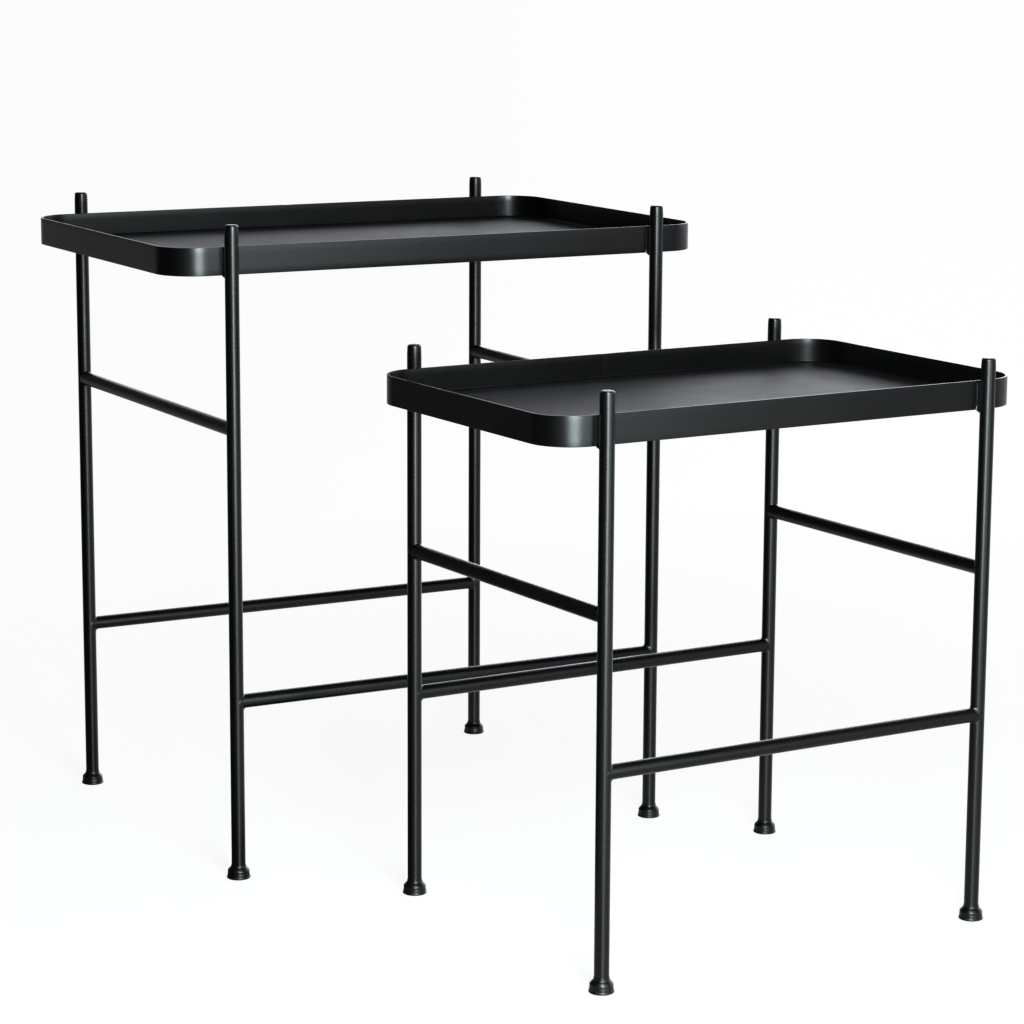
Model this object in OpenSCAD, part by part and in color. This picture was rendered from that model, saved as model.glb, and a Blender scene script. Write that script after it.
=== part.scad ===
// Pair of nesting tray tables in powder-coated steel, the small one standing in front.
// Each table is a shallow tray with rounded corners, welded between four round legs
// that rise a little above its rim. Two low rails run along the table and two higher
// rails run across it. Rubber caps are pushed onto the legs' lower ends.
// Z is up and the floor is z = 0. X runs along the large table, whose front is -Y.
// The origin is on the floor, at the centre of the box that holds both tables.

/* [Large table] */
// Height of the large table, from the floor to the leg tops
large_h = 600; // [560:5:680]
// Length of the large tray
large_len = 550; // [500:5:640]
// Depth of the large tray
large_dep = 354; // [330:2:420]
// Distance between the centres of the large table's left and right legs
large_leg_span = 439; // [380:1:460]
// Height of the large table's front and back rails, at their centre
large_long_rail_z = 166; // [100:1:260]
// Height of the large table's left and right rails, at their centre
large_side_rail_z = 416; // [300:1:500]

/* [Small table] */
// Height of the small table, from the floor to the leg tops
small_h = 500; // [440:5:540]
// Length of the small tray
small_len = 480; // [420:5:500]
// Depth of the small tray
small_dep = 300; // [260:2:320]
// Distance between the centres of the small table's left and right legs
small_leg_span = 388; // [340:1:400]
// Height of the small table's front and back rails, at their centre
small_long_rail_z = 186; // [100:1:240]
// Height of the small table's left and right rails, at their centre
small_side_rail_z = 316; // [260:1:380]

/* [Placement] */
// How far the small table's centre stands to the right of the large one's
small_right = 103; // [60:1:140]
// How far the small table's centre stands in front of the large one's
small_front = 448; // [440:1:520]
// Turn of the small table on the floor, in degrees
small_turn = 2.5; // [0:0.5:5]

/* [Trays] */
// Height of the steel strip that forms a tray's rim
band_h = 25.4; // [20:0.1:40]
// Thickness of the rim strip
band_t = 2; // [1.5:0.1:3]
// Outer radius of a tray's corners
corner_r = 36; // [25:1:50]
// Thickness of a tray's floor sheet
floor_t = 1.5; // [1:0.1:2.5]
// How far the floor sheet sits above the rim's lower edge
floor_raise = 1.5; // [1:0.1:4]
// Gap between the strip's two ends, filled by the seam weld
seam_gap = 2; // [1:0.5:3]

/* [Tubes] */
// Outer diameter of the legs and rails
tube_d = 12.7; // [10:0.1:16]
// Wall thickness of the tubes
tube_wall = 1.2; // [0.8:0.1:2]
// How far the legs rise above the trays' rims
leg_rise = 20; // [12:1:40]
// Thickness of the plug that closes a leg's top
plug_t = 3; // [2:0.5:6]

/* [Feet] */
// Widest diameter of a rubber foot
foot_d = 21.6; // [19:0.1:26]
// Height of a rubber foot
foot_h = 13; // [11:0.5:20]
// Rubber under the end of the leg
foot_base = 2.5; // [1.5:0.1:4]

/* [Welds] */
// Size of the weld beads around the ends of the rails
rail_bead = 2.4; // [1.5:0.1:3]
// Width of the weld beads between the legs and the rims
leg_bead = 6.5; // [5:0.1:7]

/* [Hidden] */
$fn = 96;
GAP = 1; // extra length of a cutting shape past the face that it cuts
COAT = "#2a2b2e";
WELD = "#333437";
PLUG = "#3a3b3e";
RUBBER = "#17181a";

// One entry per table: the large one, then the small one
TABLES = ["large", "small"];
height = [large_h, small_h];
tray_len = [large_len, small_len];
tray_dep = [large_dep, small_dep];
leg_span = [large_leg_span, small_leg_span];
long_rail_z = [large_long_rail_z, small_long_rail_z];
side_rail_z = [large_side_rail_z, small_side_rail_z];
centre = [[0, 0], [small_right, -small_front]];
turn = [0, small_turn];

// Names and directions of the corners and sides
CORNERS = [["front_left", -1, -1], ["front_right", 1, -1], ["back_left", -1, 1], ["back_right", 1, 1]];
LONG_RAILS = [["front", -1], ["back", 1]];
SIDE_RAILS = [["left", -1], ["right", 1]];

tube_r = tube_d / 2;
bore_r = tube_r - tube_wall;
foot_r = foot_d / 2;

// The legs touch the outside of the tray's long sides
function leg_y(t) = tray_dep[t] / 2 + tube_r;
function rim_top(t) = height[t] - leg_rise;
function rim_bottom(t) = rim_top(t) - band_h;
function floor_under(t) = rim_bottom(t) + floor_raise;

// Half the width, along X and Y, of the box that holds a turned table
function tray_half(t, a, b) =
    (a / 2 - corner_r) * cos(turn[t]) + (b / 2 - corner_r) * sin(turn[t]) + corner_r;
function feet_half(t, a, b) = a * cos(turn[t]) + b * sin(turn[t]) + foot_r;
function half_x(t) = max(tray_half(t, tray_len[t], tray_dep[t]), feet_half(t, leg_span[t] / 2, leg_y(t)));
function half_y(t) = max(tray_half(t, tray_dep[t], tray_len[t]), feet_half(t, leg_y(t), leg_span[t] / 2));
BOTH = [0, 1];
mid_x = (min([for (t = BOTH) centre[t].x - half_x(t)]) + max([for (t = BOTH) centre[t].x + half_x(t)])) / 2;
mid_y = (min([for (t = BOTH) centre[t].y - half_y(t)]) + max([for (t = BOTH) centre[t].y + half_y(t)])) / 2;

// ---- placing ----

module on_table(t) {
    translate([centre[t].x - mid_x, centre[t].y - mid_y, 0])
        rotate([0, 0, turn[t]])
            children();
}

module at_corner(t, c) {
    translate([c[1] * leg_span[t] / 2, c[2] * leg_y(t), 0])
        children();
}

// ---- trays ----

// Rectangle with true arcs at its corners
module rounded_rectangle(len, dep, r) {
    square([len - 2 * r, dep], center = true);
    square([len, dep - 2 * r], center = true);
    for (x = [-1, 1], y = [-1, 1])
        translate([x * (len / 2 - r), y * (dep / 2 - r)])
            circle(r);
}

// Steel strip bent round the tray, open at the middle of the back until it is welded
module tray_rim(t) {
    color(COAT)
        translate([0, 0, rim_bottom(t)])
            difference() {
                linear_extrude(band_h)
                    rounded_rectangle(tray_len[t], tray_dep[t], corner_r);
                translate([0, 0, -GAP])
                    linear_extrude(band_h + 2 * GAP)
                        rounded_rectangle(tray_len[t] - 2 * band_t, tray_dep[t] - 2 * band_t, corner_r - band_t);
                translate([-seam_gap / 2, tray_dep[t] / 2 - band_t - GAP, -GAP])
                    cube([seam_gap, band_t + 2 * GAP, band_h + 2 * GAP]);
            }
}

// Sheet that fills the rim
module tray_floor(t) {
    color(COAT)
        translate([0, 0, floor_under(t)])
            linear_extrude(floor_t)
                rounded_rectangle(tray_len[t] - 2 * band_t, tray_dep[t] - 2 * band_t, corner_r - band_t);
}

// Butt weld that closes the strip, flush inside and slightly crowned outside
module seam_weld(t) {
    crown_r = 4;
    crown_h = 0.6;
    color(WELD)
        translate([0, tray_dep[t] / 2, rim_bottom(t)])
            linear_extrude(band_h) {
                translate([-seam_gap / 2, -band_t])
                    square([seam_gap, band_t]);
                intersection() {
                    translate([0, crown_h - crown_r])
                        circle(crown_r);
                    translate([-crown_r, 0])
                        square([2 * crown_r, crown_r]);
                }
            }
}

// One short stitch under the floor, along X, in the corner between the sheet and the rim
module floor_stitch(stitch) {
    rotate([90, 0, 90])
        linear_extrude(stitch, center = true)
            polygon([[0, 0], [-floor_raise, 0], [0, -floor_raise]]);
}

module floor_welds(t) {
    stitch = 25;
    long_side = tray_len[t] - 2 * corner_r;
    short_side = tray_dep[t] - 2 * corner_r;
    color(WELD)
        translate([0, 0, floor_under(t)])
            for (a = [0, 180])
                rotate([0, 0, a]) {
                    for (i = [-3, -1, 1, 3])
                        translate([i * long_side / 8, tray_dep[t] / 2 - band_t, 0])
                            floor_stitch(stitch);
                    for (i = [-1, 1])
                        translate([tray_len[t] / 2 - band_t, i * short_side / 4, 0])
                            rotate([0, 0, -90])
                                floor_stitch(stitch);
                }
}

// ---- legs ----

END_TAPER_H = 10; // height of the slightly narrowed stretch at a leg's top
END_TAPER = 0.3; // how much that stretch loses in radius
END_EDGE = 2; // height of the rounded edge at a leg's top
END_DROP = 0.5; // how far below the top the tube's inner edge ends
END_FLAT_R = 4.5; // radius of the flat disc on top

// Upright tube with a narrowed, rounded upper end
module leg(t) {
    len = height[t] - foot_base;
    color(COAT)
        translate([0, 0, foot_base])
            rotate_extrude()
                polygon([
                    [bore_r, 0],
                    [tube_r, 0],
                    [tube_r, len - END_TAPER_H],
                    [tube_r - END_TAPER, len - END_EDGE],
                    [tube_r - 2.5 * END_TAPER, len - END_EDGE / 2],
                    [bore_r, len - END_DROP]
                ]);
}

// Disc welded into the top of a leg and ground to a dome with it
module leg_plug(t) {
    color(PLUG)
        translate([0, 0, height[t]])
            rotate_extrude()
                polygon([
                    [0, -plug_t],
                    [bore_r, -plug_t],
                    [bore_r, -END_DROP],
                    [END_FLAT_R, 0],
                    [0, 0]
                ]);
}

// Bell-shaped rubber cap pushed onto the lower end of a leg
module foot() {
    collar_r = tube_r + 0.6;
    shoulder_r = foot_r - 2.8;
    dome_r = foot_r - 0.6;
    color(RUBBER)
        rotate_extrude()
            polygon([
                [0, 0],
                [foot_r - 0.6, 0],
                [foot_r, 0.6],
                [foot_r, 1.6],
                [dome_r, 2.4],
                [dome_r, foot_h - 5.5],
                [foot_r - 1.3, foot_h - 3.8],
                [shoulder_r, foot_h - 2.6],
                [collar_r + 0.5, foot_h - 1.6],
                [collar_r, foot_h],
                [tube_r, foot_h],
                [tube_r, foot_base],
                [0, foot_base]
            ]);
}

// ---- rails ----

RAIL_TIP = 2.5; // distance from a leg's centre line at which the rail's cope is trimmed

// Tube between two legs, along X, with its ends coped to their round sides
module rail(span) {
    color(COAT)
        difference() {
            rotate([0, 90, 0])
                cylinder(h = span - 2 * RAIL_TIP, r = tube_r, center = true);
            rotate([0, 90, 0])
                cylinder(h = span, r = bore_r, center = true);
            for (x = [-1, 1])
                translate([x * span / 2, 0, 0])
                    cylinder(h = 4 * tube_d, r = tube_r, center = true);
        }
}

module long_rail(t, y) {
    translate([0, y * leg_y(t), long_rail_z[t]])
        rail(leg_span[t]);
}

module side_rail(t, x) {
    translate([x * leg_span[t] / 2, 0, side_rail_z[t]])
        rotate([0, 0, 90])
            rail(2 * leg_y(t));
}

// ---- welds on the frame ----

// Bead around the end of a rail, on the side of a leg at the origin, with the rail along +X
module rail_end_bead() {
    side_bulge = 0.8;
    start = 1.5;
    difference() {
        intersection() {
            cylinder(h = 4 * tube_d, r = tube_r + rail_bead, center = true);
            rotate([0, 90, 0])
                cylinder(h = 4 * tube_d, r = tube_r + rail_bead);
            translate([start, -tube_r - side_bulge, -2 * tube_d])
                cube([2 * tube_d, tube_d + 2 * side_bulge, 4 * tube_d]);
        }
        cylinder(h = 5 * tube_d, r = tube_r, center = true);
        rotate([0, 90, 0])
            cylinder(h = 5 * tube_d, r = tube_r);
    }
}

module rail_welds(t) {
    color(WELD)
        for (c = CORNERS)
            at_corner(t, c) {
                translate([0, 0, long_rail_z[t]])
                    rotate([0, 0, c[1] > 0 ? 180 : 0])
                        rail_end_bead();
                translate([0, 0, side_rail_z[t]])
                    rotate([0, 0, -90 * c[2]])
                        rail_end_bead();
            }
}

// Outline of one bead in the corner between a rim's flat face, at y = 0, and a leg below it
module leg_bead_outline() {
    inner = 1.5;
    difference() {
        polygon([
            [inner, 0],
            [leg_bead, 0],
            [leg_bead - 1.3, -2.9],
            [inner, -1.5]
        ]);
        translate([0, -tube_r])
            circle(tube_r);
    }
}

module leg_welds(t) {
    bead_len = band_h - 2;
    color(WELD)
        translate([0, 0, rim_bottom(t)])
            linear_extrude(bead_len)
                for (y = [0, 1], x = [-1, 1], side = [0, 1])
                    mirror([0, y])
                        translate([x * leg_span[t] / 2, -tray_dep[t] / 2])
                            mirror([side, 0])
                                leg_bead_outline();
}

// ---- both tables ----

for (t = BOTH) on_table(t) {
    tray_rim(t);
    tray_floor(t);
    seam_weld(t);
    floor_welds(t);
    leg_welds(t);
    rail_welds(t);
    for (c = CORNERS) at_corner(t, c) {
        leg(t);
        leg_plug(t);
        foot();
    }
    for (r = LONG_RAILS)
        long_rail(t, r[1]);
    for (r = SIDE_RAILS)
        side_rail(t, r[1]);
}
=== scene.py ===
import math
import random

import bmesh
import bpy
from mathutils import Matrix, Vector, noise


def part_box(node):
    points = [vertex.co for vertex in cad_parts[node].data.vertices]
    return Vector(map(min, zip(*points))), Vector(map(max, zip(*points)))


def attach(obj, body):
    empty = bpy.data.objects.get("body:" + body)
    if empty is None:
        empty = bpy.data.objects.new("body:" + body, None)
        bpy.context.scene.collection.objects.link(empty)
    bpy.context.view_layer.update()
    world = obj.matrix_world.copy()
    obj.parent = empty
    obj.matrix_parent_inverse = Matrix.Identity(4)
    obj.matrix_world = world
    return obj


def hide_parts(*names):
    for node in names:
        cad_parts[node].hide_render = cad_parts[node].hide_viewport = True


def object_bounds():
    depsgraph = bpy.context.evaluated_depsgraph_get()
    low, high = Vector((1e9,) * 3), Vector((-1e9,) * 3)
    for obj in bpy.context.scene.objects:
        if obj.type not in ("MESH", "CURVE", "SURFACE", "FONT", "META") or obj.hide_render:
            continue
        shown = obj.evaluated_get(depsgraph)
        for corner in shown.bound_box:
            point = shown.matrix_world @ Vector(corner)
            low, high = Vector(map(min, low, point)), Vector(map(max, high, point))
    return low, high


# Pair of nesting tray tables in black powder-coated steel. Every visible piece is rebuilt
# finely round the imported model: all places and sizes are read from its nodes, and the
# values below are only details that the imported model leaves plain.

MM = 0.001
TABLES = ("large", "small")
CORNERS = {"front_left": (-1, -1), "front_right": (1, -1), "back_left": (-1, 1), "back_right": (1, 1)}
LONG_RAILS = {"front": -1, "back": 1}
SIDE_RAILS = {"left": -1, "right": 1}
ROUND = 48  # segments round a tube
SHARP = math.radians(50)  # edges sharper than this stay crisp

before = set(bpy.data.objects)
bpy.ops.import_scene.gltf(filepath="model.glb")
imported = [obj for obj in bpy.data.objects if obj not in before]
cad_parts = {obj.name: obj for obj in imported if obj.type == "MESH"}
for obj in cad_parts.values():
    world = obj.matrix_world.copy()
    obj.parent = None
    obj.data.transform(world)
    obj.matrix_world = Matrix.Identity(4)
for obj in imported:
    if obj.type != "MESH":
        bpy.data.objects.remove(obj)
cad_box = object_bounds()
scene = bpy.context.scene


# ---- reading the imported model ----


class Table:
    """Where one table stands and how big its parts are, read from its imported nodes."""

    def __init__(self, name):
        self.name = name
        self.body = name + "_table"
        axes = {c: self.middle("leg_" + c) for c in CORNERS}
        centre = sum(axes.values(), Vector((0, 0, 0))) / len(axes)
        along = axes["front_right"] - axes["front_left"]
        across = axes["back_left"] - axes["front_left"]
        self.place = Matrix.Translation((centre.x, centre.y, 0)) @ Matrix.Rotation(
            math.atan2(along.y, along.x), 4, "Z"
        )
        self.leg_x = along.length / 2
        self.leg_y = across.length / 2

        leg = [p - Vector((self.leg_x, self.leg_y, 0)) for p in self.points("leg_back_right")]
        plug = [p - Vector((self.leg_x, self.leg_y, 0)) for p in self.points("leg_plug_back_right")]
        foot = [p - Vector((self.leg_x, self.leg_y, 0)) for p in self.points("foot_back_right")]
        self.tube_r = max(p.xy.length for p in leg)
        self.bore_r = max(p.xy.length for p in plug)
        self.foot_r = max(p.xy.length for p in foot)
        self.foot_h = max(p.z for p in foot)
        self.leg_low = min(p.z for p in leg)
        self.top = max(p.z for p in plug)
        self.plug_low = min(p.z for p in plug)

        rim = self.points("tray_rim")
        sheet = self.points("tray_floor")
        self.half_x = max(p.x for p in rim)
        self.half_y = max(p.y for p in rim)
        self.rim_low = min(p.z for p in rim)
        self.rim_high = max(p.z for p in rim)
        self.band_t = self.half_y - max(p.y for p in sheet)
        self.sheet_low = min(p.z for p in sheet)
        self.sheet_high = max(p.z for p in sheet)
        straight_x = max(p.x for p in rim if p.y > self.half_y - 0.01 * MM)
        self.corner_r = self.half_x - straight_x
        self.seam_half = min(abs(p.x) for p in rim if p.y > 0)

    def middle(self, node):
        low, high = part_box(f"{self.name}_{node}")
        return (low + high) / 2

    def points(self, node):
        """The node's vertices in the table's own frame, with X along the tray."""
        back = self.place.inverted()
        return [back @ v.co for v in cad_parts[f"{self.name}_{node}"].data.vertices]


# ---- mesh helpers ----


def skin(bm, rings, loop=False):
    """Joins closed rings of points with quads. An open run of rings is capped at both ends."""
    rows = [[bm.verts.new(p) for p in ring] for ring in rings]
    following = rows[1:] + rows[:1] if loop else rows[1:]
    for a, b in zip(rows, following):
        for i in range(len(a)):
            j = (i + 1) % len(a)
            bm.faces.new((a[i], a[j], b[j], b[i]))
    if not loop:
        bm.faces.new(rows[0][::-1])
        bm.faces.new(rows[-1])


def lathe(bm, profile, x=0.0, y=0.0, segments=ROUND, loop=False):
    """Turns (radius, height) points round a vertical axis. A radius of 0 makes a pole."""
    rows = []
    for r, z in profile:
        if r == 0:
            rows.append([bm.verts.new((x, y, z))])
            continue
        turns = [2 * math.pi * k / segments for k in range(segments)]
        rows.append([bm.verts.new((x + r * math.cos(a), y + r * math.sin(a), z)) for a in turns])
    following = rows[1:] + rows[:1] if loop else rows[1:]
    for a, b in zip(rows, following):
        for i in range(segments):
            j = (i + 1) % segments
            if len(a) == 1:
                bm.faces.new((a[0], b[j], b[i]))
            elif len(b) == 1:
                bm.faces.new((a[i], a[j], b[0]))
            else:
                bm.faces.new((a[i], a[j], b[j], b[i]))


def arc(cx, cy, r, start, end, steps):
    """Points on an arc, its angles in degrees."""
    angles = [math.radians(start + (end - start) * k / steps) for k in range(steps + 1)]
    return [(cx + r * math.cos(a), cy + r * math.sin(a)) for a in angles]


def smooth_curve(points, steps):
    """Catmull-Rom curve through a few 2-D points."""
    ends = [points[0], *points, points[-1]]
    curve = []
    for p0, p1, p2, p3 in zip(ends, ends[1:], ends[2:], ends[3:]):
        for k in range(steps):
            t = k / steps
            weights = (
                (-t**3 + 2 * t**2 - t) / 2,
                (3 * t**3 - 5 * t**2 + 2) / 2,
                (-3 * t**3 + 4 * t**2 + t) / 2,
                (t**3 - t**2) / 2,
            )
            curve.append(tuple(sum(w * p[i] for w, p in zip(weights, (p0, p1, p2, p3))) for i in (0, 1)))
    return curve + [points[-1]]


def wander(value, wavelength, seed):
    """Smooth pseudo-random number between about -1 and 1 that changes over a wavelength."""
    return noise.noise(Vector((value / wavelength, seed * 7.31, seed * 3.77)))


def outline(half_x, half_y, r, long_steps, short_steps, arc_steps):
    """Points and outward normals round a rectangle with round corners, from the middle
    of the back towards the left. Every outline with the same steps has as many points."""
    runs = []
    corner = [(-1, 1, 90), (-1, -1, 180), (1, -1, 270), (1, 1, 360)]
    for sx, sy, angle in corner:
        cx, cy = sx * (half_x - r), sy * (half_y - r)
        run = []
        for k in range(arc_steps + 1):
            a = math.radians(angle + 90 * k / arc_steps)
            point = Vector((cx + r * math.cos(a), cy + r * math.sin(a)))
            run.append((point, Vector((math.cos(a), math.sin(a)))))
        runs.append(run)
    route = []
    for side in range(4):
        steps = short_steps if side % 2 == 0 else long_steps
        start, normal = runs[side][-1]
        end = runs[(side + 1) % 4][0][0]
        route += runs[side]
        route += [(start.lerp(end, k / steps), normal) for k in range(1, steps)]
    # The list starts at the back-left corner, so it is turned to begin at the middle of the back
    half = long_steps // 2
    return route[-half:] + route[:-half]


def make_piece(table, name, bm, material, slot, *nodes):
    """Turns a mesh in the table's own frame into a piece that stands for CAD nodes."""
    bmesh.ops.recalc_face_normals(bm, faces=bm.faces)
    mesh = bpy.data.meshes.new(name)
    bm.to_mesh(mesh)
    bm.free()
    mesh.transform(table.place)
    mesh.polygons.foreach_set("use_smooth", [True] * len(mesh.polygons))
    mesh.set_sharp_from_angle(angle=SHARP)
    mesh.materials.append(material)
    obj = bpy.data.objects.new(name, mesh)
    scene.collection.objects.link(obj)
    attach(obj, table.body)
    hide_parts(*nodes)


# ---- materials ----


class Nodes:
    """Short way to write a shader: add() makes a node and links its inputs, which are given
    by name, with _ for a space, or by number, as i0."""

    def __init__(self, tree):
        tree.nodes.clear()
        self.tree = tree

    def add(self, kind, settings=None, **inputs):
        node = self.tree.nodes.new(kind)
        for key, value in (settings or {}).items():
            setattr(node, key, value)
        for key, value in inputs.items():
            numbered = key[0] == "i" and key[1:].isdigit()
            socket = node.inputs[int(key[1:]) if numbered else key.replace("_", " ")]
            if isinstance(value, bpy.types.NodeSocket):
                self.tree.links.new(value, socket)
            else:
                socket.default_value = value
        return node

    def noise(self, coords, scale, detail=2.0, roughness=0.5):
        return self.add(
            "ShaderNodeTexNoise", Vector=coords, Scale=scale, Detail=detail, Roughness=roughness
        ).outputs["Fac"]

    def ramp(self, value, low, high, out_low=0.0, out_high=1.0):
        return self.add(
            "ShaderNodeMapRange",
            {"clamp": True},
            Value=value, From_Min=low, From_Max=high, To_Min=out_low, To_Max=out_high,
        ).outputs["Result"]

    def math(self, operation, a, b):
        return self.add("ShaderNodeMath", {"operation": operation}, i0=a, i1=b).outputs[0]

    def vector(self, operation, a, b=(0, 0, 0), output="Vector"):
        node = self.add("ShaderNodeVectorMath", {"operation": operation}, i0=a, i1=b)
        return node.outputs[output]

    def mix(self, factor, a, b):
        node = self.add("ShaderNodeMix", {"data_type": "RGBA"})
        self.tree.links.new(factor, node.inputs[0])
        for index, value in ((6, a), (7, b)):
            if isinstance(value, bpy.types.NodeSocket):
                self.tree.links.new(value, node.inputs[index])
            else:
                node.inputs[index].default_value = value
        return node.outputs[2]

    def bump(self, height, distance, normal=None):
        node = self.add("ShaderNodeBump", Height=height, Distance=distance, Strength=1.0)
        if normal:
            self.tree.links.new(normal, node.inputs["Normal"])
        return node.outputs["Normal"]


def grey(value, warmth=0.0):
    return (value * (1 + warmth), value, value * (1 - warmth), 1.0)


def powder_coat(name, tone, gloss, peel_depth, seed, haziness=0.04):
    """Satin black powder coat: fine orange peel, slow changes of tone and gloss, rubbed edges,
    and a trace of dust on what faces up, which haziness makes rougher too."""
    material = bpy.data.materials.new(name)
    material.use_nodes = True
    n = Nodes(material.node_tree)
    here = n.add("ShaderNodeTexCoord").outputs["Object"]
    offset = (seed * 0.37, seed * 0.11, seed * 0.23)  # keeps the coats' patterns apart
    place = n.add("ShaderNodeMapping", Vector=here, Location=offset).outputs[0]
    geometry = n.add("ShaderNodeNewGeometry")

    cloud = n.noise(place, 9.0, 3.0)
    grain = n.noise(place, 1900.0, 1.0)
    peel = n.noise(place, 620.0, 2.0, 0.55)
    colour = n.mix(n.ramp(cloud, 0.35, 0.68), grey(tone * 0.86, -0.05), grey(tone * 1.16, -0.05))

    # Edges that hands rub are a little lighter and smoother
    edge = n.ramp(geometry.outputs["Pointiness"], 0.53, 0.62)
    rubbed = n.math("MULTIPLY", edge, n.ramp(n.noise(place, 60.0, 4.0, 0.6), 0.38, 0.66))
    colour = n.mix(n.math("MULTIPLY", rubbed, 0.5), colour, grey(tone * 2.1, -0.03))

    # Faces that look up carry a haze of fine dust, with a little more here and there
    up = n.add("ShaderNodeSeparateXYZ", Vector=geometry.outputs["Normal"]).outputs["Z"]
    haze = n.ramp(up, 0.75, 1.0)
    dust = n.math("MULTIPLY", haze, n.ramp(n.noise(place, 38.0, 6.0, 0.7), 0.5, 0.8))
    colour = n.mix(n.math("MULTIPLY", dust, 0.04), colour, grey(0.16, 0.03))

    rough = n.ramp(cloud, 0.3, 0.7, gloss - 0.025, gloss + 0.025)
    rough = n.math("ADD", rough, n.ramp(grain, 0.3, 0.7, -0.03, 0.03))
    rough = n.math("ADD", rough, n.math("MULTIPLY", haze, haziness))
    rough = n.math("ADD", rough, n.math("MULTIPLY", dust, 0.08))
    rough = n.math("SUBTRACT", rough, n.math("MULTIPLY", rubbed, 0.06))

    normal = n.bump(peel, peel_depth)
    normal = n.bump(grain, peel_depth * 0.22, normal)
    shader = n.add("ShaderNodeBsdfPrincipled", Base_Color=colour, Roughness=rough, Normal=normal)
    shader.inputs["IOR"].default_value = 1.5
    shader.inputs["Specular IOR Level"].default_value = 0.5
    n.add("ShaderNodeOutputMaterial", Surface=shader.outputs[0])
    return material


def black_rubber(name):
    """Moulded black rubber: satin, with a fine grain, a little scuffed towards the floor."""
    material = bpy.data.materials.new(name)
    material.use_nodes = True
    n = Nodes(material.node_tree)
    here = n.add("ShaderNodeTexCoord").outputs["Object"]
    cloud = n.noise(here, 70.0, 4.0, 0.6)
    grain = n.noise(here, 2600.0, 2.0)
    height = n.add("ShaderNodeSeparateXYZ", Vector=here).outputs["Z"]
    low = n.ramp(height, 0.0, 4 * MM, 1.0, 0.0)
    scuff = n.math("MULTIPLY", low, n.ramp(n.noise(here, 260.0, 4.0, 0.65), 0.42, 0.7))
    colour = n.mix(n.ramp(cloud, 0.3, 0.7), grey(0.0018), grey(0.0032))
    colour = n.mix(n.math("MULTIPLY", scuff, 0.3), colour, grey(0.03, 0.03))
    rough = n.math("ADD", n.ramp(cloud, 0.3, 0.7, 0.3, 0.38), n.math("MULTIPLY", scuff, 0.2))
    shader = n.add(
        "ShaderNodeBsdfPrincipled", Base_Color=colour, Roughness=rough, Normal=n.bump(grain, 0.02 * MM)
    )
    shader.inputs["IOR"].default_value = 1.5
    n.add("ShaderNodeOutputMaterial", Surface=shader.outputs[0])
    return material


BLACK = 0.002
TRAY_COAT = powder_coat("tray_powder_coat", BLACK, 0.30, 0.035 * MM, 1)
FLOOR_COAT = powder_coat("tray_floor_powder_coat", BLACK, 0.30, 0.035 * MM, 1, haziness=0.28)
FRAME_COAT = powder_coat("frame_powder_coat", BLACK, 0.29, 0.03 * MM, 2)
WELD_COAT = powder_coat("weld_powder_coat", BLACK, 0.31, 0.05 * MM, 3)
RUBBER = black_rubber("foot_black_rubber")


# ---- trays ----

EDGE_R = 0.4 * MM  # the coated strip's edges are this round
INSET = 0.10 * MM  # the strip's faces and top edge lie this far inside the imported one's
SEAM_DIP = 0.2 * MM  # its top edge is ground down by this at the seam
COVE_R = 2.4 * MM  # coat and bend blend the floor into the rim


def rim_section(table):
    """Closed outline of the strip's section, as (offset from the outer face, height)."""
    t, low, high = table.band_t, table.rim_low, table.rim_high
    face = [low + (high - low) * k / 4 for k in (1, 2, 3)]
    section = arc(-EDGE_R, low + EDGE_R, EDGE_R, -90, 0, 4)
    section += [(0, z) for z in face]
    section += arc(-EDGE_R, high - EDGE_R, EDGE_R, 0, 90, 4)
    section += arc(EDGE_R - t, high - EDGE_R, EDGE_R, 90, 180, 4)
    section += [(-t, z) for z in reversed(face)]
    section += arc(EDGE_R - t, low + EDGE_R, EDGE_R, 180, 270, 4)
    return section


def tray_rim(table, seed):
    """Strip bent round the tray. Its faces and edges wander a little, as rolled strip does,
    and its top edge is ground down slightly at the seam."""
    seam_reach = 6 * MM
    settled_over = 80 * MM
    route = outline(table.half_x, table.half_y, table.corner_r, 90, 56, 24)
    near_seam = [table.seam_half, 2 * MM, 3 * MM, 4 * MM, 5 * MM]
    back = [(Vector((-x, table.half_y)), Vector((0, 1))) for x in near_seam]
    front = [(Vector((x, table.half_y)), Vector((0, 1))) for x in reversed(near_seam)]
    route = back + route[1:] + front
    middle = (table.rim_low + table.rim_high) / 2
    section = rim_section(table)
    rings = []
    travelled = 0.0
    before = route[0][0]
    for point, normal in route:
        travelled += (point - before).length
        before = point
        # The strip's two ends are level with each other at the seam
        settle = min(1.0, abs(point.x) / settled_over) if point.y > 0 else 1.0
        inward = INSET * (1 + settle * wander(travelled, 90 * MM, seed))
        top = INSET * (1 + settle * wander(travelled, 120 * MM, seed + 1))
        lean = 0.12 * MM * settle * wander(travelled, 140 * MM, seed + 2)
        if point.y > 0 and abs(point.x) < seam_reach:
            top += SEAM_DIP * (1 - (point.x / seam_reach) ** 2)
        ring = []
        for offset, z in section:
            high = (z - middle) / (table.rim_high - middle)
            out = offset - inward - lean * max(high, 0)
            ring.append((*(point + normal * out), z - top * max(high, 0)))
        rings.append(ring)
    bm = bmesh.new()
    skin(bm, rings)
    name = f"{table.name}_tray_rim"
    make_piece(table, name + "_coated", bm, TRAY_COAT, "tray_coat", name)


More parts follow.
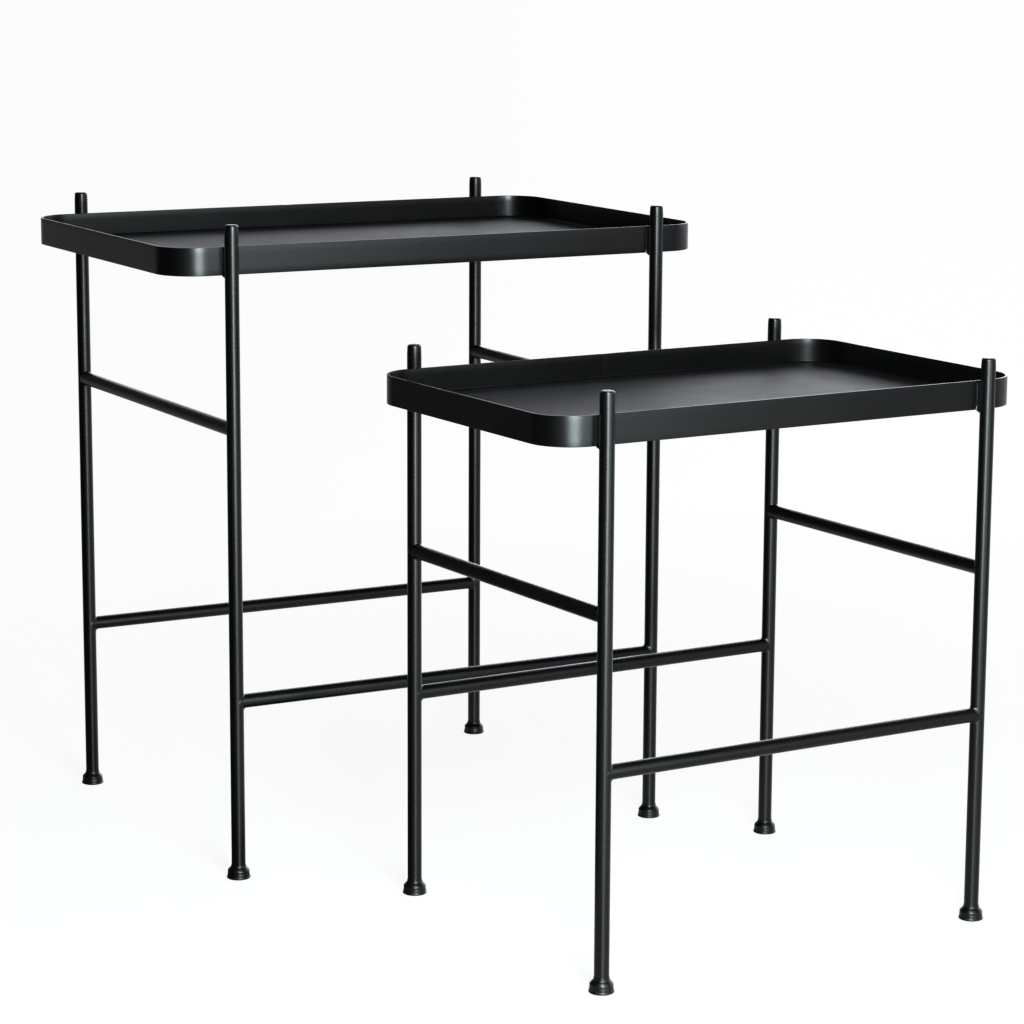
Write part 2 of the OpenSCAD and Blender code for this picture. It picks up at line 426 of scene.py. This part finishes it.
def tray_floor(table, seed):
    """Sheet that fills the rim. It turns up into the rim at a small cove and is not quite flat."""
    half_x, half_y = table.half_x - table.band_t, table.half_y - table.band_t
    radius = table.corner_r - table.band_t
    high, low = table.sheet_high, table.sheet_low
    overlap = 0.3 * MM  # the sheet's edge goes this far into the rim
    unevenness = 0.25 * MM
    flat_near_edge = 40 * MM  # the sheet waves fully only this far from its edge
    cove = [(-overlap, high + COVE_R), (0.0, high + COVE_R)]
    cove += arc(COVE_R, high + COVE_R, COVE_R, 180, 270, 6)[1:]
    inset = [d * MM for d in (4, 7, 12, 20, 32, 50, 70, 90, 110, 130)]
    inset = [d for d in inset if d < half_y - 8 * MM] + [half_y - 4 * MM]

    def ring(d, z, bend):
        points = outline(half_x - d, half_y - d, max(radius - d, 2 * MM), 72, 44, 20)
        placed = []
        for point, _ in points:
            wave = unevenness * noise.noise(Vector((point.x / 0.11, point.y / 0.11, seed * 5.3)))
            placed.append((point.x, point.y, z + bend * wave))
        return placed

    # One open run of rings: from the middle of the underside out, round the edge and back in
    rings = [ring(d, low, min(1, d / flat_near_edge)) for d in reversed(inset)]
    rings += [ring(-overlap, low, 0)]
    rings += [ring(d, z, 0) for d, z in cove]
    rings += [ring(d, high, min(1, d / flat_near_edge)) for d in inset]
    bm = bmesh.new()
    skin(bm, rings)
    name = f"{table.name}_tray_floor"
    make_piece(table, name + "_coated", bm, FLOOR_COAT, "tray_coat", name)


def bead(path, sizes, seed):
    """Rings of a weld bead along a path of (point, outward, sideways) frames, with a weld's
    ripples. Its section is a circle of each frame's size."""
    ripple = 1.7 * MM
    facets = 12
    rings = []
    travelled = 0.0
    before = path[0][0]
    for (point, outward, sideways), size in zip(path, sizes):
        travelled += (point - before).length
        before = point
        swell = 1 + 0.06 * math.cos(2 * math.pi * travelled / ripple)
        swell += 0.10 * wander(travelled, 4 * MM, seed)
        ring = []
        for k in range(facets):
            a = 2 * math.pi * k / facets
            c, s = math.cos(a), math.sin(a)
            rough = 1 + 0.05 * noise.noise(Vector((travelled / (1.3 * MM), 2.1 * c, seed + 2.1 * s)))
            ring.append(point + (outward * c + sideways * s) * size * swell * rough)
        rings.append(ring)
    return rings


def seam_weld(table, seed):
    """Upright weld that closes the strip: ground flush inside and on top, crowned outside."""
    crown_h = 0.5 * MM
    crown_w = 2.2 * MM
    bottom = table.rim_low + 0.4 * MM
    shoulder = table.rim_high - INSET - SEAM_DIP - EDGE_R
    outer, inner = table.half_y - INSET, table.half_y - table.band_t - INSET
    steps = 36
    levels = [(bottom + (shoulder - bottom) * k / steps, 0.0) for k in range(steps)]
    levels += [(shoulder + z, EDGE_R - x) for x, z in arc(0, 0, EDGE_R, 0, 75, 5)]
    rings = []
    for number, (z, tuck) in enumerate(levels):
        end = min(1.0, 3.0 * min(number, len(levels) - 1 - number) / steps + 0.1)
        swell = 1 + 0.18 * math.cos(2 * math.pi * z / (1.8 * MM)) + 0.2 * wander(z, 5 * MM, seed)
        ring = []
        for j in range(11):
            a = math.pi * j / 10
            y = outer - tuck + crown_h * end * swell * math.sin(a) - 0.05 * MM
            ring.append((crown_w * (0.5 + 0.5 * end) * math.cos(a), y, z))
        for j in range(7):
            a = math.pi * j / 6
            y = inner + tuck + 0.02 * MM - 0.04 * MM * swell * math.sin(a)
            ring.append((-1.2 * table.seam_half * math.cos(a), y, z))
        rings.append(ring)
    bm = bmesh.new()
    skin(bm, rings)
    name = f"{table.name}_seam_weld"
    make_piece(table, name + "_coated", bm, WELD_COAT, "tray_coat", name)


def floor_welds(table, seed):
    """Short rippled stitches under the sheet, in the corner between it and the rim."""
    stitch = 25 * MM
    size = table.sheet_low - table.rim_low - 0.1 * MM
    steps = 44
    inner_x, inner_y = table.half_x - table.band_t, table.half_y - table.band_t
    long_side = 2 * (table.half_x - table.corner_r)
    short_side = 2 * (table.half_y - table.corner_r)
    places = []
    for turn in (1, -1):
        for i in (-3, -1, 1, 3):
            middle = Vector((i * long_side / 8, turn * inner_y, 0))
            places.append((middle, Vector((1, 0, 0)), Vector((0, -turn, 0))))
        for i in (-1, 1):
            middle = Vector((turn * inner_x, i * short_side / 4, 0))
            places.append((middle, Vector((0, 1, 0)), Vector((-turn, 0, 0))))
    bm = bmesh.new()
    for number, (middle, along, inward) in enumerate(places):
        path = []
        sizes = []
        for k in range(steps + 1):
            s = k / steps
            point = middle + along * stitch * (s - 0.5) + Vector((0, 0, table.sheet_low))
            path.append((point, inward, Vector((0, 0, -1))))
            sizes.append(size * 0.88 * min(1.0, math.sqrt(max(0.04, 1 - (2 * s - 1) ** 8))))
        skin(bm, bead(path, sizes, seed + number))
    name = f"{table.name}_floor_welds"
    make_piece(table, name + "_coated", bm, WELD_COAT, "tray_coat", name)


# ---- legs and feet ----

TAPER_H = 10 * MM  # the leg narrows a little over this height below its top
TAPER = 0.3 * MM


def leg(table, corner):
    """Upright tube, its mouth drawn in and rounded where the plug was welded and ground."""
    sx, sy = CORNERS[corner]
    top, r, bore = table.top, table.tube_r, table.bore_r
    lip = 0.5 * MM  # the tube ends this far below the plug's top
    round_r = r - TAPER - bore
    outside = [(r, table.leg_low)]
    outside += [(r, table.leg_low + (top - TAPER_H - table.leg_low) * k / 24) for k in range(1, 24)]
    outside += [(r, top - TAPER_H), (r - 0.12 * TAPER, top - 0.75 * TAPER_H)]
    outside += [(r - 0.5 * TAPER, top - 0.45 * TAPER_H)]
    # A round mouth, 1.7 times as high as it is wide
    for k in range(9):
        a = math.radians(90 * k / 8)
        drop = lip + round_r * 1.7 * (1 - math.sin(a))
        outside.append((bore + round_r * math.cos(a), top - drop))
    inside = [(bore, table.plug_low), (bore, table.leg_low)]
    bm = bmesh.new()
    lathe(bm, outside + inside, sx * table.leg_x, sy * table.leg_y, loop=True)
    name = f"{table.name}_leg_{corner}"
    make_piece(table, name + "_coated", bm, FRAME_COAT, "frame_coat", name)


def leg_plug(table, corner):
    """Disc that closes the leg, ground to a low dome with a faint groove round it."""
    sx, sy = CORNERS[corner]
    top, bore = table.top, table.bore_r
    flat_r = 4.3 * MM
    drop = 0.5 * MM
    groove = 0.15 * MM
    profile = [(0, table.plug_low), (bore, table.plug_low), (bore, top - drop - 0.12 * MM)]
    profile += [(bore - groove, top - drop)]
    for k in range(1, 6):
        a = math.radians(15 * k)
        radius = flat_r + (bore - groove - flat_r) * math.cos(a)
        profile.append((radius, top - drop + (drop - 0.06 * MM) * math.sin(a)))
    profile += [(flat_r, top - 0.05 * MM), (flat_r * 0.66, top - 0.02 * MM)]
    profile += [(flat_r * 0.33, top - 0.005 * MM), (0, top)]
    bm = bmesh.new()
    lathe(bm, profile, sx * table.leg_x, sy * table.leg_y)
    name = f"{table.name}_leg_plug_{corner}"
    make_piece(table, name + "_coated", bm, FRAME_COAT, "frame_coat", name)


def foot(table, corner):
    """Bell-shaped rubber cap: a rolled lip at the floor, a round shoulder and a thin collar."""
    sx, sy = CORNERS[corner]
    r, h, tube = table.foot_r, table.foot_h, table.tube_r
    dome = r - 0.6 * MM
    # Points in mm: out from a radius, and up from the floor or down from the foot's top
    lip = [(r + x * MM, z * MM) for x, z in (
        (-1.3, 0.0), (-0.75, 0.08), (-0.25, 0.35), (-0.02, 0.8), (-0.02, 1.4), (-0.25, 1.9), (-0.65, 2.4)
    )]
    wall = [(dome, 3.4 * MM)]
    wall += [(dome - x * MM, h - z * MM) for x, z in ((0.3, 7.6), (0.3, 6.8), (0.15, 5.8))]
    shoulder = [(r - x * MM, h - z * MM) for x, z in ((1.5, 4.6), (2.6, 3.3))]
    collar = [(tube + x * MM, h - z * MM) for x, z in ((0.8, 2.3), (0.45, 1.3), (0.35, 0.3), (0.2, 0.0))]
    outside = smooth_curve(lip, 3)[:-1] + smooth_curve([lip[-1], *wall, *shoulder, *collar], 4)
    profile = [(0, 0.15 * MM), (r - 4 * MM, 0.15 * MM), (r - 3.4 * MM, 0.0)] + outside
    profile += [(tube, h - 0.3 * MM), (tube, table.leg_low), (0, table.leg_low)]
    bm = bmesh.new()
    lathe(bm, profile, sx * table.leg_x, sy * table.leg_y, segments=64)
    name = f"{table.name}_foot_{corner}"
    make_piece(table, name + "_moulded", bm, RUBBER, "foot_rubber", name)


# ---- rails ----

RAIL_TIP = 2.5 * MM  # the cope is trimmed at this distance from the leg's centre line


def rail(table, name, half_span, place):
    """Tube between two legs, along X before placing, its ends coped to fit round them."""
    r, bore = table.tube_r, table.bore_r
    steps = 20

    def ring(radius, s):
        points = []
        for k in range(ROUND):
            a = 2 * math.pi * k / ROUND
            y, z = radius * math.cos(a), radius * math.sin(a)
            reach = min(half_span - math.sqrt(max(r * r - y * y, 0)), half_span - RAIL_TIP)
            points.append(place @ Vector((s * reach, y, z)))
        return points

    run = [2 * k / steps - 1 for k in range(steps + 1)]
    bm = bmesh.new()
    skin(bm, [ring(r, s) for s in run] + [ring(bore, s) for s in (1, -1)], loop=True)
    make_piece(table, name + "_coated", bm, FRAME_COAT, "frame_coat", name)


def rails(table):
    for side, sy in LONG_RAILS.items():
        name = f"{table.name}_rail_{side}"
        z = table.middle("rail_" + side).z
        rail(table, name, table.leg_x, Matrix.Translation((0, sy * table.leg_y, z)))
    for side, sx in SIDE_RAILS.items():
        name = f"{table.name}_rail_{side}"
        z = table.middle("rail_" + side).z
        turned = Matrix.Translation((sx * table.leg_x, 0, z)) @ Matrix.Rotation(math.pi / 2, 4, "Z")
        rail(table, name, table.leg_y, turned)


# ---- welds on the frame ----


def saddle_fillet(bm, table, place, above, below, seed):
    """Hollow fillet round the end of a rail that runs along +X from a leg at the origin. It
    reaches above and below the rail by the given sizes, and is small and slightly crowned at
    the sides, where the two tubes' walls run together."""
    r = table.tube_r
    beside = 1.3 * MM
    crown = 0.7 * MM
    corner = 1.2 * MM  # rounds off the point where the tubes' edges cross at the sides
    steps = 96
    rings = []
    for k in range(steps):
        a = 2 * math.pi * k / steps
        c, s = math.cos(a), math.sin(a)
        depth = abs(s)
        drift = noise.noise(Vector((1.9 * c, 1.9 * s, seed * 1.7)))
        # A whole number of ripples round the fillet, so its start and end meet
        reach = beside + ((above if s > 0 else below) - beside) * depth**1.5
        reach += 0.05 * MM * math.cos(26 * a) + 0.25 * MM * drift
        edge = math.sqrt((r * s) ** 2 + corner**2)
        on_rail = Vector((0, c, s))
        turn = math.atan2(c, depth) + math.copysign(reach * abs(c) / r, c)
        on_leg = Vector((math.cos(turn), math.sin(turn), 0))
        middle = Vector((edge, r * c, r * s))
        outward = (on_rail + Vector((depth, c, 0))).normalized()
        toe = Vector((edge + reach, r * c, r * s)) - on_rail * 0.05 * MM
        heel = Vector((r * on_leg.x, r * on_leg.y, (r + reach) * s)) - on_leg * 0.05 * MM
        pull = middle + outward * crown * (1 - depth)
        section = [
            toe * (1 - t) ** 2 + pull * 2 * t * (1 - t) + heel * t**2
            for t in (j / 8 for j in range(9))
        ]
        section += [heel - on_leg * 0.7 * MM, middle - outward * 1.2 * MM, toe - on_rail * 0.7 * MM]
        rings.append([place @ p for p in section])
    skin(bm, rings, loop=True)


def rail_welds(table, seed):
    """Fillets of all eight rail ends. On the low rails they are fuller below at the left legs
    and above at the right legs, as welded from one side each."""
    bm = bmesh.new()
    long_z = table.middle("rail_front").z
    side_z = table.middle("rail_left").z
    for number, (sx, sy) in enumerate(CORNERS.values()):
        along = Matrix.Translation((sx * table.leg_x, sy * table.leg_y, long_z))
        along @= Matrix.Rotation(math.pi if sx > 0 else 0, 4, "Z")
        across = Matrix.Translation((sx * table.leg_x, sy * table.leg_y, side_z))
        across @= Matrix.Rotation(-sy * math.pi / 2, 4, "Z")
        above, below = (1.3 * MM, 3.2 * MM) if sx < 0 else (2.8 * MM, 1.6 * MM)
        saddle_fillet(bm, table, along, above, below, seed + number)
        saddle_fillet(bm, table, across, 1.5 * MM, 1.5 * MM, seed + 10 + number)
    name = f"{table.name}_rail_welds"
    make_piece(table, name + "_coated", bm, WELD_COAT, "frame_coat", name)


def leg_welds(table, seed):
    """Upright fillets in the corners between the legs and the rim. Each is fullest at the
    rim's lower edge, runs out below it onto the leg, and stops just under the top edge."""
    rng = random.Random(seed)
    steps = 60
    r = table.tube_r
    top = table.rim_high - 1.6 * MM
    top_run = 1.5 * MM  # the fillet narrows over this height below its top
    shortest = 4.6 * MM
    # Sections are drawn from where the leg touches the rim: X along the rim, Y out of it
    sunk = Vector((2.6, 3.4)) * MM  # a point inside the leg, where the lower end vanishes
    bm = bmesh.new()
    for sx, sy in CORNERS.values():
        for side in (-1, 1):
            fullness = rng.uniform(0.94, 1.06)
            tail = rng.uniform(3.2, 3.8) * MM
            bottom = table.rim_low - tail
            rings = []
            for k in range(steps + 1):
                z = bottom + (top - bottom) * k / steps
                below = max(0.0, (table.rim_low + 0.4 * MM - z) / (tail + 0.4 * MM))
                lump = math.exp(-((z - table.rim_low) / (2.4 * MM)) ** 2)
                end = math.sqrt(max(0.0, min(1.0, (top - z) / top_run)))
                ripple = 0.06 * MM * math.cos(2 * math.pi * z / (1.9 * MM))
                waver = 0.2 * MM * wander(z, 6 * MM, seed + side + 2 * sx + 4 * sy)
                reach = (6.0 + 1.5 * lump) * MM * fullness + ripple + waver
                reach = shortest + (reach - shortest) * (0.35 + 0.65 * end)
                climb = math.radians(30 - 8 * lump + 14 * (1 - end))
                # From the rim's face, hollow to the leg's side, then back inside both
                toe = Vector((reach, 0))
                heel = Vector((r * math.cos(climb), r - r * math.sin(climb)))
                elbow = Vector((heel.x * 0.98, 0.6 * MM))
                section = [
                    toe * (1 - t) ** 2 + elbow * 2 * t * (1 - t) + heel * t**2
                    for t in (j / 8 for j in range(9))
                ]
                section += [heel + Vector((-0.9, 0.5)) * MM, Vector((1.6, 2.2)) * MM]
                section += [Vector((1.6, -0.5)) * MM, Vector((reach - 0.4 * MM, -0.5 * MM))]
                section = [p.lerp(sunk, 0.94 * (1 - math.sqrt(max(0.0, 1 - below)))) for p in section]
                rings.append([
                    Vector((sx * table.leg_x + side * p.x, sy * (table.half_y + p.y - 0.05 * MM), z))
                    for p in section
                ])
            skin(bm, rings)
    name = f"{table.name}_leg_welds"
    make_piece(table, name + "_coated", bm, WELD_COAT, "frame_coat", name)


# ---- both tables ----

tables = {name: Table(name) for name in TABLES}
for seed, table in enumerate(tables.values(), start=1):
    tray_rim(table, 10 * seed)
    tray_floor(table, 10 * seed)
    seam_weld(table, 10 * seed)
    floor_welds(table, 10 * seed)
    rails(table)
    rail_welds(table, 100 * seed)
    leg_welds(table, 100 * seed)
    for corner in CORNERS:
        leg(table, corner)
        leg_plug(table, corner)
        foot(table, corner)


# ---- camera ----

CAMERA_FROM_LARGE = Vector((-1.35473, -2.77927, 0.87349))  # from the large table's floor centre
CAMERA_TURN = math.radians(28.67)  # clockwise from +Y, seen from above
CAMERA_TILT = math.radians(-10.65)
CAMERA_ROLL = math.radians(-0.28)
LENS = 112.31  # on a 36 mm sensor


def make_camera():
    ahead = Vector((
        math.sin(CAMERA_TURN) * math.cos(CAMERA_TILT),
        math.cos(CAMERA_TURN) * math.cos(CAMERA_TILT),
        math.sin(CAMERA_TILT),
    ))
    level = Vector((math.cos(CAMERA_TURN), -math.sin(CAMERA_TURN), 0))
    down = ahead.cross(level)
    right = level * math.cos(CAMERA_ROLL) + down * math.sin(CAMERA_ROLL)
    up = right.cross(ahead)
    data = bpy.data.cameras.new("camera")
    data.sensor_width = 36
    data.lens = LENS
    data.clip_start = 0.05
    camera = bpy.data.objects.new("camera", data)
    scene.collection.objects.link(camera)
    turn = Matrix((right, up, -ahead)).transposed().to_4x4()
    camera.matrix_world = Matrix.Translation(tables["large"].place.translation + CAMERA_FROM_LARGE) @ turn
    scene.camera = camera


make_camera()


# ---- stage and light ----

FLOOR_SIZE = 240.0
PAINTED_POOL = (0.3, -1.0, 0)  # a place on the floor, in front of the small table: the tables see a painted pool of light round it, and the camera sees painted shade
PAINTED_SHADE_SIDE = (-0.966, 0.259, 0)  # towards the side where the studio is unlit: the floor's glow gets painted shade there
# towards the back left, where the white floor that the camera sees gets painted shade
PAINTED_SHADE_BACK_LEFT = (-0.877, 0.48, 0)
AIM_HEIGHT = 0.42  # the softboxes point at this height in the middle of the tables
LIGHT_COLOUR = (0.89, 1.0, 1.02)
VIEW_GAMMA = 0.8  # under 1, it deepens the dark tones
ROOM_COLOUR = (0.92, 0.935, 1.0, 1)
WHITE = (1, 1, 1, 1)
centre = (cad_box[0] + cad_box[1]) / 2

# Area lights: name, azimuth from -Y towards +X, distance, height, width, tallness, watts
SOFTBOXES = (
    ("key_front", -16, 1.41, 0.76, 0.52, 1.5, 30),
    ("key_high", -17, 1.41, 1.0, 0.4, 0.8, 20),
    ("fill_front", 4, 1.5, 0.7, 1.2, 1.4, 14),
)

# Bright screens that the camera doesn't see: azimuth from +Y towards +X, the angles from it
# where a screen starts and where it is full, its strength, and where its top starts and stops
# fading, as the Z of a direction of length 1
SCREENS = (
    (60, 61, 31, 2.6, 0.3, 0.72),
    (45, 20, 11, 2.4, 0.55, 0.8),
    (5, 50, 20, 0.15, 0.5, 0.8),
    (150, 72, 18, 0.8, 0.25, 0.7),
)


def make_floor():
    """Pale floor. The camera sees it nearly white with soft shadows, and painted shade makes it a
    little darker round the pool and at the back left. The tables see a slightly glossy floor with a
    painted glow: a painted pool of light round the pool, and painted shade on the unlit side."""
    bm = bmesh.new()
    half = FLOOR_SIZE / 2
    corners = ((-half, -half), (half, -half), (half, half), (-half, half))
    bm.faces.new([bm.verts.new((x, y, 0)) for x, y in corners])
    mesh = bpy.data.meshes.new("studio_floor")
    bm.to_mesh(mesh)
    bm.free()
    material = bpy.data.materials.new("studio_floor")
    material.use_nodes = True
    n = Nodes(material.node_tree)
    here = n.add("ShaderNodeTexCoord").outputs["Object"]
    pool = n.vector("DISTANCE", here, PAINTED_POOL, "Value")
    unlit = n.vector("DOT_PRODUCT", n.vector("NORMALIZE", here), PAINTED_SHADE_SIDE, "Value")

    # Painted light and shade for the tables: the floor glows brighter round the pool, as if lit there,
    # and fades to dark on the unlit side
    bright = n.math("ADD", n.ramp(pool, 0.2, 2.6, 0.22, 0.0), 0.42)
    bright = n.math("MULTIPLY", bright, n.ramp(unlit, 0.49, 0.86, 1.0, 0.08))
    painted_glow = n.add("ShaderNodeEmission", Color=WHITE, Strength=bright)
    sheen = n.add("ShaderNodeBsdfGlossy", Color=grey(0.2), Roughness=0.25)
    room = n.add("ShaderNodeAddShader", i0=painted_glow.outputs[0], i1=sheen.outputs[0])

    # Painted shade for the camera: the white is a little darker near the pool and towards the back left
    beside = n.vector("DOT_PRODUCT", here, PAINTED_SHADE_BACK_LEFT, "Value")
    plain = n.ramp(pool, 0.3, 2.6, 0.885, 0.965)
    plain = n.math("SUBTRACT", plain, n.ramp(beside, -0.6, 0.4, 0.0, 0.02))
    white = n.add("ShaderNodeEmission", Color=WHITE, Strength=plain)
    shade = n.add("ShaderNodeBsdfDiffuse", Color=grey(0.08))
    pale = n.add("ShaderNodeAddShader", i0=white.outputs[0], i1=shade.outputs[0])

    seen = n.add("ShaderNodeLightPath").outputs["Is Camera Ray"]
    out = n.add("ShaderNodeMixShader", i0=seen, i1=room.outputs[0], i2=pale.outputs[0])
    n.add("ShaderNodeOutputMaterial", Surface=out.outputs[0])
    material.cycles.emission_sampling = "NONE"
    mesh.materials.append(material)
    floor = bpy.data.objects.new("studio_floor", mesh)
    scene.collection.objects.link(floor)


def make_softbox(name, azimuth, distance, height, width, tall, watts):
    a = math.radians(azimuth)
    spot = Vector((centre.x + distance * math.sin(a), centre.y - distance * math.cos(a), height))
    aim = Vector((centre.x, centre.y, AIM_HEIGHT)) - spot
    data = bpy.data.lights.new(name, "AREA")
    data.shape = "RECTANGLE"
    data.size = width
    data.size_y = tall
    data.energy = watts
    data.color = LIGHT_COLOUR
    light = bpy.data.objects.new(name, data)
    scene.collection.objects.link(light)
    light.location = spot
    light.rotation_mode = "QUATERNION"
    light.rotation_quaternion = aim.to_track_quat("-Z", "Y")
    light.visible_camera = False


def make_world():
    """White to the camera. The tables see a dim room with the bright screens, which stand
    behind them and to the right, and none on the unlit side."""
    world = bpy.data.worlds.new("studio")
    scene.world = world
    world.use_nodes = True
    n = Nodes(world.node_tree)
    way = n.add("ShaderNodeTexCoord").outputs["Generated"]
    high = n.add("ShaderNodeSeparateXYZ", Vector=way).outputs["Z"]
    level = n.vector("NORMALIZE", n.vector("MULTIPLY", way, (1, 1, 0)))
    light = n.ramp(high, 0.0, 1.0, 0.02, 0.05)
    for azimuth, start, full, strength, top_full, top_end in SCREENS:
        a = math.radians(azimuth)
        facing = n.vector("DOT_PRODUCT", level, (math.sin(a), math.cos(a), 0), "Value")
        start, full = math.cos(math.radians(start)), math.cos(math.radians(full))
        sides = n.ramp(facing, start, full, 0.0, strength)
        panel = n.math("MULTIPLY", sides, n.ramp(high, top_full, top_end, 1.0, 0.0))
        light = n.math("ADD", light, panel)
    seen = n.add("ShaderNodeLightPath").outputs["Is Camera Ray"]
    room = n.add("ShaderNodeBackground", Color=ROOM_COLOUR, Strength=light)
    white = n.add("ShaderNodeBackground", Color=WHITE, Strength=1.0)
    out = n.add("ShaderNodeMixShader", i0=seen, i1=room.outputs[0], i2=white.outputs[0])
    n.add("ShaderNodeOutputWorld", Surface=out.outputs[0])


make_floor()
make_world()
for softbox in SOFTBOXES:
    make_softbox(*softbox)
scene.view_settings.view_transform = "Standard"
scene.view_settings.gamma = VIEW_GAMMA
